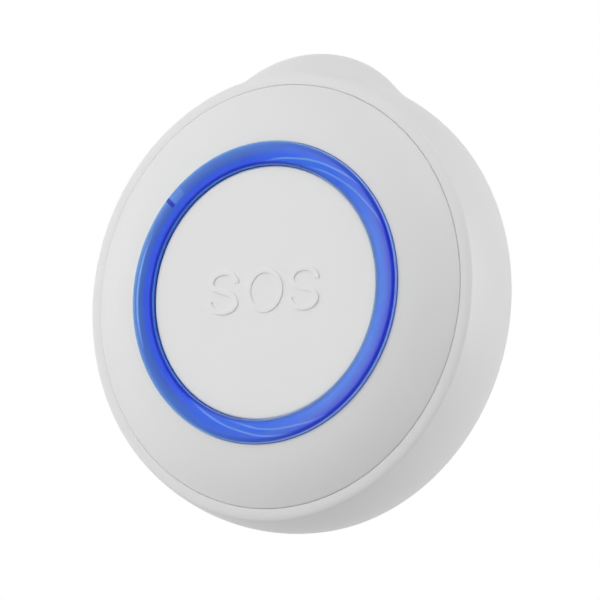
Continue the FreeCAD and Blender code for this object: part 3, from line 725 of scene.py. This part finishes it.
def make_push_face():
    face_top = RING_PLANE + FACE_CROWN
    edge_r = FACE_R - FACE_EDGE_ROUND
    corners = [(0, FACE_UNDERSIDE), (0.4, FACE_UNDERSIDE), (SKIRT_R, FACE_UNDERSIDE),
               (SKIRT_R, FACE_FLANGE_TOP - FACE_FLANGE_THICK), (FACE_FLANGE_R, FACE_FLANGE_TOP - FACE_FLANGE_THICK),
               (FACE_FLANGE_R, FACE_FLANGE_TOP), (FACE_R, FACE_FLANGE_TOP)]
    corners += arc(edge_r, RING_PLANE - FACE_EDGE_ROUND, FACE_EDGE_ROUND, 0, 88, 10)
    for i in range(1, 25):
        r = edge_r * (1 - i / 24)
        corners.append((max(r, 0.0), face_top - FACE_CROWN * (r / edge_r) ** 2))
    corners[-1] = (0, face_top)
    face = revolved("push_face_shell", corners)
    inner, outer, deep = SPRING_CUP
    inside, cup_end = FACE_UNDERSIDE + 0.5, FACE_UNDERSIDE - deep
    cup = revolved("cup", [(inner, cup_end), (outer, cup_end), (outer, inside), (inner, inside)], count=64)
    stem = revolved("stem", [(0, STEM_END), (STEM_R, STEM_END), (STEM_R, inside), (0, inside)], count=48)
    reach = SKIRT_R - outer + 1
    section = [(-RIB_THICK / 2, cup_end), (RIB_THICK / 2, cup_end), (RIB_THICK / 2, inside), (-RIB_THICK / 2, inside)]
    rib = flat_base([[(x, y, depth) for y, depth in section] for x in (-reach / 2, reach / 2)])
    ribs = round_the_axis("ribs", rib, FACE_ABS, (SKIRT_R + outer) / 2, 6, 0.0)
    combined(face, "UNION", cup, stem, ribs)
    joined(face, *make_letters())
    return smooth(face, 30.0)


def make_return_spring():
    """The spring under the push face, wound with closed ends that lie flat on the board and in the face's cup."""
    low = BOARD_TOP + SPRING_WIRE_R + 0.03
    high = FACE_UNDERSIDE - SPRING_WIRE_R - 0.03
    points = []
    for i in range(SPRING_TURNS * SPRING_STEPS + 1):
        turns = i / SPRING_STEPS
        risen = min(max((turns - 0.5) / (SPRING_TURNS - 1), 0.0), 1.0)
        angle = 2 * math.pi * turns
        points.append((SPRING_R * math.cos(angle), SPRING_R * math.sin(angle), low + risen * (high - low)))
    wire = line_mesh("spring_line", points, False)
    return smooth(grown("coil_spring", wire, DRAWN_WIRE, NICKEL_STEEL, {
        "Wire Radius": SPRING_WIRE_R * MM, "Sides": 16}), 60.0)


# Battery lid and pad

def grip_base():
    """One low rounded ridge of the lid's grip, with tapered ends."""
    length, width, tall = GRIP_SIZE
    rings = []
    for x, size in ((-0.5, 0.3), (-0.42, 0.8), (-0.3, 1.0), (0.3, 1.0), (0.42, 0.8), (0.5, 0.3)):
        ring = [(x * length, y * width / 2 * size, DOOR_OUTSIDE + 0.15) for y in (1, -1)]
        for i in range(1, 6):
            turn = math.pi * (1 - i / 6)
            ring.append((x * length, width / 2 * size * math.cos(turn), DOOR_OUTSIDE - tall * size * math.sin(turn)))
        rings.append(ring)
    return flat_base(rings)


def make_battery_lid():
    """The lid: a disc with a rim, three bayonet lugs, grip ridges, a sunk pointer and a slot for a coin."""
    corners = [(0, DOOR_INSIDE), (DOOR_SPIGOT_R, DOOR_INSIDE), (DOOR_SPIGOT_R, DOOR_FLANGE_IN),
               (DOOR_R, DOOR_FLANGE_IN)]
    corners += arc(DOOR_R - DOOR_EDGE, DOOR_OUTSIDE + DOOR_EDGE, DOOR_EDGE, 0, -90, 6)
    corners.append((0, DOOR_OUTSIDE))
    lid = revolved("battery_lid", corners, count=160)
    lug = flat_sector(DOOR_SPIGOT_R - 0.5, LUG_R, LUG_BACK, DOOR_INSIDE, LUG_SPAN)
    combined(lid, "UNION", round_the_axis("lugs", lug, WHITE_ABS, (DOOR_SPIGOT_R - 0.5 + LUG_R) / 2, 3, 90.0))
    grips = round_the_axis("grips", grip_base(), WHITE_ABS, GRIP_R, GRIP_COUNT, 180.0 / GRIP_COUNT)
    combined(lid, "UNION", grips)
    pointer = prism("pointer", POINTER, DOOR_OUTSIDE - 0.5, DOOR_OUTSIDE + MARK_DEEP, axis="Y")
    combined(lid, "DIFFERENCE", pointer)
    length, width, deep = COIN_SLOT
    outline = []
    for start, centre in ((-90, length / 2 - width / 2), (90, -length / 2 + width / 2)):
        outline += arc(centre, 0, width / 2, start, start + 180, 12)
    slot = prism("slot", outline, DOOR_OUTSIDE - 1, DOOR_OUTSIDE + deep, axis="Y")
    combined(lid, "DIFFERENCE", slot)
    return smooth(lid, 32.0)


def make_foam_pad():
    edge = PAD_EDGE
    corners = arc(PAD_OUTER_R - edge, BACK - edge, edge, 90, 0, 3)
    corners += arc(PAD_OUTER_R - edge, edge, edge, 0, -90, 3)
    corners += arc(PAD_INNER_R + edge, edge, edge, 270, 180, 3)
    corners += arc(PAD_INNER_R + edge, BACK - edge, edge, 180, 90, 3)
    return smooth(revolved("foam_ring", corners, count=160), 40.0)


# Materials

def new_material(name):
    material = bpy.data.materials.new(name)
    material.use_nodes = True
    tree = material.node_tree
    tree.nodes.clear()
    return material, tree


def finish_material(tree, shader):
    add(tree, "ShaderNodeOutputMaterial", {"Surface": shader.outputs[0]})


FLOW_MM = 14.0


def moulded_plastic(name, colour, darker, roughness, grain_mm, bump):
    """Injection-moulded plastic: a fine eroded grain from the mould and a faint unevenness of tone."""
    material, tree = new_material(name)
    place = add(tree, "ShaderNodeTexCoord").outputs["Object"]
    grain = add(tree, "ShaderNodeTexNoise", {"Vector": place, "Scale": 1 / (grain_mm * MM), "Detail": 2.0})
    flow = add(tree, "ShaderNodeTexNoise", {"Vector": place, "Scale": 1 / (FLOW_MM * MM), "Detail": 2.0})
    tone = add(tree, "ShaderNodeMix", {
        0: flow.outputs["Fac"], 6: linear(colour), 7: linear(darker)}, data_type="RGBA")
    gloss = add(tree, "ShaderNodeMapRange", {
        "Value": grain.outputs["Fac"], "To Min": roughness - 0.04, "To Max": roughness + 0.04})
    relief = add(tree, "ShaderNodeBump", {
        "Height": grain.outputs["Fac"], "Strength": bump, "Distance": 0.02 * MM})
    shader = add(tree, "ShaderNodeBsdfPrincipled", {
        "Base Color": tone.outputs[2], "Roughness": gloss.outputs[0], "IOR": 1.53, "Normal": relief.outputs[0]})
    finish_material(tree, shader)
    return material


# ABS with the fine eroded texture of its mould: an even, soft sheen with no mirror reflection.
WHITE_ABS = moulded_plastic("moulded_white_abs", "#EAEAEA", "#E7E7E7", 0.44, 0.35, 0.15)
# The push face is moulded in the same ABS against a smoother mould, so its sheen is a little tighter.
FACE_ABS = moulded_plastic("moulded_white_abs_face", "#F0F0F0", "#EDEDED", 0.40, 0.3, 0.08)


def near_direction(tree, direction, angle, width, soft):
    """1 where the direction from the axis is within width degrees of the angle, falling to 0 over soft degrees."""
    turn = math.radians(angle)
    aligned = add(tree, "ShaderNodeVectorMath", {0: direction, 1: (math.cos(turn), 0.0, math.sin(turn))},
                  operation="DOT_PRODUCT")
    near, far = math.cos(math.radians(width)), math.cos(math.radians(width + soft))
    return add(tree, "ShaderNodeMapRange", {
        "Value": aligned.outputs["Value"], "From Min": far, "From Max": near}).outputs[0]


def band_colours(tree, across, stops):
    """The colours of the light guide from its inner edge, at 0, to its outer edge, at 1."""
    band = add(tree, "ShaderNodeValToRGB", {"Fac": across})
    elements = band.color_ramp.elements
    while len(elements) < len(stops):
        elements.new(0.5)
    for element, (at, code) in zip(elements, stops):
        element.position = at
        element.color = linear(code)
    return band.outputs[0]


def tinted_light_guide():
    """The light guide's blue, with painted light and shade that change across the band and round it."""
    material, tree = new_material("tinted_polycarbonate")
    place = add(tree, "ShaderNodeTexCoord").outputs["Object"]
    flat = add(tree, "ShaderNodeVectorMath", {0: place, 1: (1.0, 0.0, 1.0)}, operation="MULTIPLY")
    radius = add(tree, "ShaderNodeVectorMath", {0: flat.outputs[0]}, operation="LENGTH")
    direction = add(tree, "ShaderNodeVectorMath", {0: flat.outputs[0]}, operation="NORMALIZE").outputs[0]
    across = add(tree, "ShaderNodeMapRange", {
        "Value": radius.outputs["Value"], "From Min": RING_INNER_R * MM, "From Max": RING_OUTER_R * MM}).outputs[0]
    left = band_colours(tree, across, LEFT_BAND)
    right = band_colours(tree, across, RIGHT_BAND)
    # Painted light: the side towards this angle takes the right band's colours, painted as the glow where light comes
    # out; the far side takes the left band's, painted greyer as the lamps' reflection.
    glow_side = math.radians(GLOW_SIDE_ANGLE)
    aligned = add(tree, "ShaderNodeVectorMath", {0: direction, 1: (math.cos(glow_side), 0.0, math.sin(glow_side))},
                  operation="DOT_PRODUCT").outputs["Value"]
    side = add(tree, "ShaderNodeMapRange", {"Value": aligned, "From Min": -0.45, "From Max": 0.75})
    both = add(tree, "ShaderNodeMix", {0: side.outputs[0], 6: left, 7: right}, data_type="RGBA")
    # A painted glow: bright blue between the two sides, away from the band's edges.
    halfway = add(tree, "ShaderNodeMath", {0: aligned, 1: 0.12}, operation="SUBTRACT")
    far = add(tree, "ShaderNodeMath", {0: halfway.outputs[0]}, operation="ABSOLUTE")
    between = add(tree, "ShaderNodeMapRange", {"Value": far.outputs[0], "From Min": 0.6, "From Max": 0.2,
                                               "To Max": 0.75})
    inner = add(tree, "ShaderNodeMapRange", {"Value": across, "From Min": 0.9, "From Max": 0.45})
    past_edge = add(tree, "ShaderNodeMapRange", {"Value": across, "From Min": 0.1, "From Max": 0.18})
    middle = add(tree, "ShaderNodeMath", {0: inner.outputs[0], 1: past_edge.outputs[0]}, operation="MULTIPLY")
    bright = add(tree, "ShaderNodeMath", {0: between.outputs[0], 1: middle.outputs[0]}, operation="MULTIPLY")
    deepened = add(tree, "ShaderNodeMix", {0: bright.outputs[0], 6: both.outputs[2], 7: linear(BRIGHT_BLUE)},
                   data_type="RGBA")
    # Painted highlights: pale streaks slanting across the band on each side, and a short one on the ridge at the
    # left.
    away = add(tree, "ShaderNodeMath", {0: aligned}, operation="ARCCOSINE")
    slanted = add(tree, "ShaderNodeMath", {0: away.outputs[0], 1: STREAK_SLANT, 2: across}, operation="MULTIPLY_ADD")
    uneven = add(tree, "ShaderNodeTexNoise", {"Vector": place, "Scale": 1 / (6.0 * MM), "Detail": 1.0})
    wavering = add(tree, "ShaderNodeMath", {0: uneven.outputs["Fac"], 1: 0.12, 2: slanted.outputs[0]},
                   operation="MULTIPLY_ADD")
    lines = band_colours(tree, add(tree, "ShaderNodeMapRange", {
        "Value": wavering.outputs[0], "From Min": 1.0, "From Max": 2.0}).outputs[0], HIGHLIGHT_STREAK_STOPS)
    within = add(tree, "ShaderNodeMapRange", {"Value": across, "From Min": 0.86, "From Max": 0.72})
    clear_of_edge = add(tree, "ShaderNodeMapRange", {"Value": across, "From Min": 0.12, "From Max": 0.28})
    span = add(tree, "ShaderNodeMath", {0: within.outputs[0], 1: clear_of_edge.outputs[0]}, operation="MULTIPLY")
    long_line = add(tree, "ShaderNodeMath", {0: lines, 1: span.outputs[0]}, operation="MULTIPLY")
    ridge = add(tree, "ShaderNodeMath", {0: across, 1: 0.74}, operation="SUBTRACT")
    off_ridge = add(tree, "ShaderNodeMath", {0: ridge.outputs[0]}, operation="ABSOLUTE")
    on_ridge = add(tree, "ShaderNodeMapRange", {"Value": off_ridge.outputs[0], "From Min": 0.07, "From Max": 0.0})
    short_line = add(tree, "ShaderNodeMath", {
        0: near_direction(tree, direction, 177.0, 10.0, 14.0), 1: on_ridge.outputs[0]}, operation="MULTIPLY")
    # The painted highlight streaks, long and short together.
    flowing = add(tree, "ShaderNodeMath", {0: long_line.outputs[0], 1: short_line.outputs[0]}, operation="MAXIMUM")
    streaked = add(tree, "ShaderNodeMix", {0: flowing.outputs[0], 6: deepened.outputs[2], 7: linear(STREAK_HIGHLIGHT_BLUE)},
                   data_type="RGBA")
    over_tab = add(tree, "ShaderNodeMapRange", {"Value": across, "From Min": 0.45, "From Max": 0.55})
    patch = add(tree, "ShaderNodeMath", {
        0: near_direction(tree, direction, RING_TAB_ANGLE, 2.6, 0.6), 1: over_tab.outputs[0]}, operation="MULTIPLY")
    tick = add(tree, "ShaderNodeMath", {
        0: near_direction(tree, direction, RING_TAB_ANGLE + 4.0, 0.6, 0.5), 1: over_tab.outputs[0]},
        operation="MULTIPLY")
    patched = add(tree, "ShaderNodeMix", {0: patch.outputs[0], 6: streaked.outputs[2], 7: linear(TAB_BLUE)},
                  data_type="RGBA")
    ticked = add(tree, "ShaderNodeMix", {0: tick.outputs[0], 6: patched.outputs[2], 7: linear(DEEP_BLUE)},
                 data_type="RGBA")
    shader = add(tree, "ShaderNodeBsdfPrincipled", {
        "Base Color": ticked.outputs[2], "Roughness": 0.08, "IOR": 1.45, "Specular IOR Level": 0.35,
        "Subsurface Weight": 1.0, "Subsurface Radius": (0.2, 0.5, 2.0), "Subsurface Scale": MM,
        "Subsurface Anisotropy": 0.8}, subsurface_method="RANDOM_WALK_SKIN")
    finish_material(tree, shader)
    return material


# Polycarbonate tinted blue and polished by its mould. Light enters it and comes out further on, so it looks lit
# from within. Its blue is also painted with light and shade. On the left it is painted greyer, as the lamps'
# reflection on the side the light comes from, with a painted dark line of shade inside its edge. On the right it is
# painted paler, as the glow where the light comes out, with a painted dark outer edge of shade, and between the two
# it is painted a clear bright blue glow. Two slanting pale lines on each side are painted highlights.
# Deep blue paints the dark lines of shade along the band's edges that face right, and the tick by the tab.
DEEP_BLUE = "#0020C0"
BRIGHT_BLUE = "#3070FF"
STREAK_HIGHLIGHT_BLUE = "#8CBCFF"
TAB_BLUE = "#5A86DC"
LEFT_BAND = (
    (0.0, "#3868D4"), (0.03, "#3868D4"), (0.06, DEEP_BLUE), (0.12, DEEP_BLUE), (0.19, "#3460F0"), (0.38, "#3A64E0"),
    (0.52, "#426CC8"), (0.8, "#4A76CE"), (0.93, "#5A84D2"), (1.0, "#6A90D4"))
RIGHT_BAND = (
    (0.0, "#6A7EB4"), (0.1, "#586CA8"), (0.2, "#4E7CDC"), (0.3, "#608CEA"), (0.48, "#648CE8"), (0.6, "#6C84E2"),
    (0.76, "#5C70E4"), (0.83, "#1C38D8"), (0.87, DEEP_BLUE), (0.94, DEEP_BLUE), (0.98, "#7090F0"), (1.0, "#7090F0"))
# The direction of the side painted with the glow, in degrees round the button from the right.
GLOW_SIDE_ANGLE = -18.0
# The slant and the stops across the band of the painted highlight streaks.
STREAK_SLANT = 0.84
HIGHLIGHT_STREAK_STOPS = ((0.43, "#000000"), (0.49, "#D8D8D8"), (0.55, "#000000"), (0.73, "#000000"), (0.79, "#E8E8E8"),
              (0.85, "#000000"))
LIGHT_GUIDE = tinted_light_guide()


def foam_tape():
    """Closed-cell foam: dull rounded cells with thin pale walls."""
    material, tree = new_material("closed_cell_foam_tape")
    place = add(tree, "ShaderNodeTexCoord").outputs["Object"]
    cells = add(tree, "ShaderNodeTexVoronoi", {"Vector": place, "Scale": 1 / (FOAM_CELL * MM)})
    tone = add(tree, "ShaderNodeMix", {
        0: cells.outputs["Distance"], 6: linear("#E6E4DC"), 7: linear("#F4F3EE")}, data_type="RGBA")
    relief = add(tree, "ShaderNodeBump", {"Height": cells.outputs["Distance"], "Distance": 0.1 * MM})
    shader = add(tree, "ShaderNodeBsdfPrincipled", {
        "Base Color": tone.outputs[2], "Roughness": 0.85, "Normal": relief.outputs[0]})
    finish_material(tree, shader)
    return material


# Closed-cell foam tape. Its real cells are a fifth of a millimetre wide, too fine to show, so they are drawn coarser,
# and the pad looks dull and pebbled beside the smooth shell.
FOAM_CELL = 0.7
FOAM = foam_tape()
# Green solder mask, printed and baked over the glass laminate: smooth, with a low sheen.
BOARD_MASK = moulded_plastic("solder_mask", "#1F6A45", "#1A5C3B", 0.35, 0.6, 0.1)
# Black epoxy pressed round the chips, dull and slightly sandy from its filler.
CHIP_EPOXY = moulded_plastic("chip_epoxy", "#232325", "#1C1C1E", 0.55, 0.3, 0.3)
# The lamps' pale yellow cast over white, smooth from its casting.
LAMP_PACKAGE = moulded_plastic("lamp_package", "#F0EBC4", "#E9E2B0", 0.3, 0.4, 0.1)


def plated_metal(name, colour, darker, roughness, scratch_mm):
    """Plated or drawn metal with fine draw marks."""
    material, tree = new_material(name)
    place = add(tree, "ShaderNodeTexCoord").outputs["Object"]
    stretched = add(tree, "ShaderNodeMapping", {"Vector": place, "Scale": (1.0, 1.0, 6.0)})
    marks = add(tree, "ShaderNodeTexNoise", {"Vector": stretched.outputs[0], "Scale": 1 / (scratch_mm * MM),
                                             "Detail": 2.0})
    tone = add(tree, "ShaderNodeMix", {
        0: marks.outputs["Fac"], 6: linear(colour), 7: linear(darker)}, data_type="RGBA")
    gloss = add(tree, "ShaderNodeMapRange", {"Value": marks.outputs["Fac"], "To Min": roughness - 0.05,
                                             "To Max": roughness + 0.08})
    shader = add(tree, "ShaderNodeBsdfPrincipled", {
        "Base Color": tone.outputs[2], "Metallic": 1.0, "Roughness": gloss.outputs[0]})
    finish_material(tree, shader)
    return material


# Drawn and pressed steel with bright nickel plating: a clear metal shine, broken by fine draw marks.
NICKEL_STEEL = plated_metal("nickel_plated_steel", "#C9C9CB", "#B9B9BC", 0.28, 0.8)
# Copper wire under clear enamel: warm, and shiny along each turn.
COPPER_WIRE = plated_metal("enamelled_copper", "#C98A5E", "#B97850", 0.3, 0.6)
# Aluminium cans, deep drawn: pale and satin.
DRAWN_CAN = plated_metal("drawn_can", "#CACCD0", "#BCBEC2", 0.35, 0.8)


# Pieces on their bodies

def dress(piece, material, slot, body, *nodes):
    piece.data.materials.clear()
    piece.data.materials.append(material)
    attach(piece, body)
    if nodes:
        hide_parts(*nodes)


dress(make_rear_housing(), WHITE_ABS, "white_abs", "case", "rear_housing")
dress(make_front_cover(), WHITE_ABS, "white_abs", "case", "front_cover")
dress(make_light_ring(), LIGHT_GUIDE, "blue_guide", "case", "light_ring")
dress(make_push_face(), FACE_ABS, "white_abs", "push_face", "sos_button")
dress(make_battery_lid(), WHITE_ABS, "white_abs", "lid", "battery_door")
dress(make_foam_pad(), FOAM, "foam", "case", "wall_pad")

spring = make_return_spring()
dress(spring, NICKEL_STEEL, "steel", "case", "return_spring")
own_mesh(spring)

CAD_FINISH = {
    "switch_body": CHIP_EPOXY, "switch_cover": NICKEL_STEEL,
    "switch_plunger": CHIP_EPOXY, "circuit_board": BOARD_MASK, "antenna_coil": COPPER_WIRE,
    "radio_chip": CHIP_EPOXY, "encoder_chip": CHIP_EPOXY, "crystal_can": DRAWN_CAN,
    "storage_capacitor": DRAWN_CAN, "coin_cell": NICKEL_STEEL, "contact_negative": NICKEL_STEEL,
    "contact_positive": NICKEL_STEEL, "case_screws": NICKEL_STEEL,
}
for i in range(1, 9):
    CAD_FINISH[f"led_{i}"] = LAMP_PACKAGE
for node, material in CAD_FINISH.items():
    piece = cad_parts[node]
    piece.data.materials.clear()
    piece.data.materials.append(material)


# Studio

def shown_white(tree):
    """1 for the rays that show a background: from the camera, in reflections and through clear plastic."""
    path = add(tree, "ShaderNodeLightPath").outputs
    straight = add(tree, "ShaderNodeMath", {0: path["Is Camera Ray"], 1: path["Is Transmission Ray"]},
                   operation="MAXIMUM")
    shown = add(tree, "ShaderNodeMath", {0: straight.outputs[0], 1: path["Is Glossy Ray"]}, operation="MAXIMUM")
    return shown.outputs[0]


AMBIENT = 0.25
world = bpy.data.worlds.new("studio")
bpy.context.scene.world = world
world.use_nodes = True
tree = world.node_tree
tree.nodes.clear()
seen = shown_white(tree)
ambient = add(tree, "ShaderNodeBackground", {"Color": linear("#FFFFFF"), "Strength": AMBIENT})
backdrop = add(tree, "ShaderNodeBackground", {"Color": linear("#FFFFFF"), "Strength": 1.0})
mixed = add(tree, "ShaderNodeMixShader", {0: seen, 1: ambient.outputs[0], 2: backdrop.outputs[0]})
add(tree, "ShaderNodeOutputWorld", {"Surface": mixed.outputs[0]})


def studio_lamp(name, azimuth, elevation, power):
    """A soft square lamp in this direction from the button, turned to it. Azimuth 0 is in front, 90 to the right."""
    across, high = math.radians(azimuth), math.radians(elevation)
    towards = Vector((math.sin(across) * math.cos(high), -math.cos(across) * math.cos(high), math.sin(high)))
    data = bpy.data.lights.new(name, "AREA")
    data.shape = "SQUARE"
    data.size = LAMP_SIZE
    data.energy = power
    lamp = bpy.data.objects.new(name, data)
    bpy.context.scene.collection.objects.link(lamp)
    lamp.location = Vector((0, -SEAM * MM, 0)) + towards * LAMP_DISTANCE
    lamp.rotation_mode = "QUATERNION"
    lamp.rotation_quaternion = towards.to_track_quat("Z", "Y")
    return lamp


LAMP_SIZE = 1.0
LAMP_DISTANCE = 1.2
studio_lamp("front_left", -24, 18, 6.0).visible_glossy = False
studio_lamp("left", -70, 0, 2.5)
studio_lamp("left_above", -45, 35, 1.8)
studio_lamp("high_right", 45, 60, 3.0)
studio_lamp("right_behind", 105, 8, 7.2)

# The camera stands to the right of the button and a little below it, far enough for the view to be nearly flat.
AZIMUTH, ELEVATION, ROLL = math.radians(30.62), math.radians(-8.55), math.radians(1.45)
back = Vector((math.sin(AZIMUTH) * math.cos(ELEVATION), -math.cos(AZIMUTH) * math.cos(ELEVATION),
               math.sin(ELEVATION)))
level = Vector((math.cos(AZIMUTH), math.sin(AZIMUTH), 0.0))
upright = back.cross(level)
right = level * math.cos(ROLL) + upright * math.sin(ROLL)
up = upright * math.cos(ROLL) - level * math.sin(ROLL)
DISTANCE = 4.0
FIELD = 102.56 * MM
AIM_RIGHT, AIM_DOWN = 3.47 * MM, 0.61 * MM
aim = Vector((0, -SEAM * MM, 0)) + right * AIM_RIGHT - up * AIM_DOWN
camera_data = bpy.data.cameras.new("camera")
camera_data.sensor_width = 36.0
camera_data.lens = camera_data.sensor_width * DISTANCE / FIELD
camera_data.clip_start, camera_data.clip_end = 0.1, 20.0
camera = bpy.data.objects.new("camera", camera_data)
bpy.context.scene.collection.objects.link(camera)
turn = Matrix((right, up, back)).transposed().to_4x4()
camera.matrix_world = Matrix.Translation(aim + back * DISTANCE) @ turn
bpy.context.scene.camera = camera

FLOOR_HALF, FLOOR_Z = 3, -0.72
floor_mesh = bpy.data.meshes.new("floor")
floor_corners = [(x * FLOOR_HALF, y * FLOOR_HALF, FLOOR_Z) for x, y in ((-1, -1), (1, -1), (1, 1), (-1, 1))]
floor_mesh.from_pydata(floor_corners, [], [(0, 1, 2, 3)])
floor = bpy.data.objects.new("floor", floor_mesh)
bpy.context.scene.collection.objects.link(floor)
material, tree = new_material("pale_floor")
seen = shown_white(tree)
matt = add(tree, "ShaderNodeBsdfDiffuse", {"Color": linear("#F0F0F0")})
shown = add(tree, "ShaderNodeEmission", {"Color": linear("#FFFFFF"), "Strength": 1.0})
mixed = add(tree, "ShaderNodeMixShader", {0: seen, 1: matt.outputs[0], 2: shown.outputs[0]})
finish_material(tree, mixed)
floor_mesh.materials.append(material)

bpy.context.scene.view_settings.view_transform = "Standard"
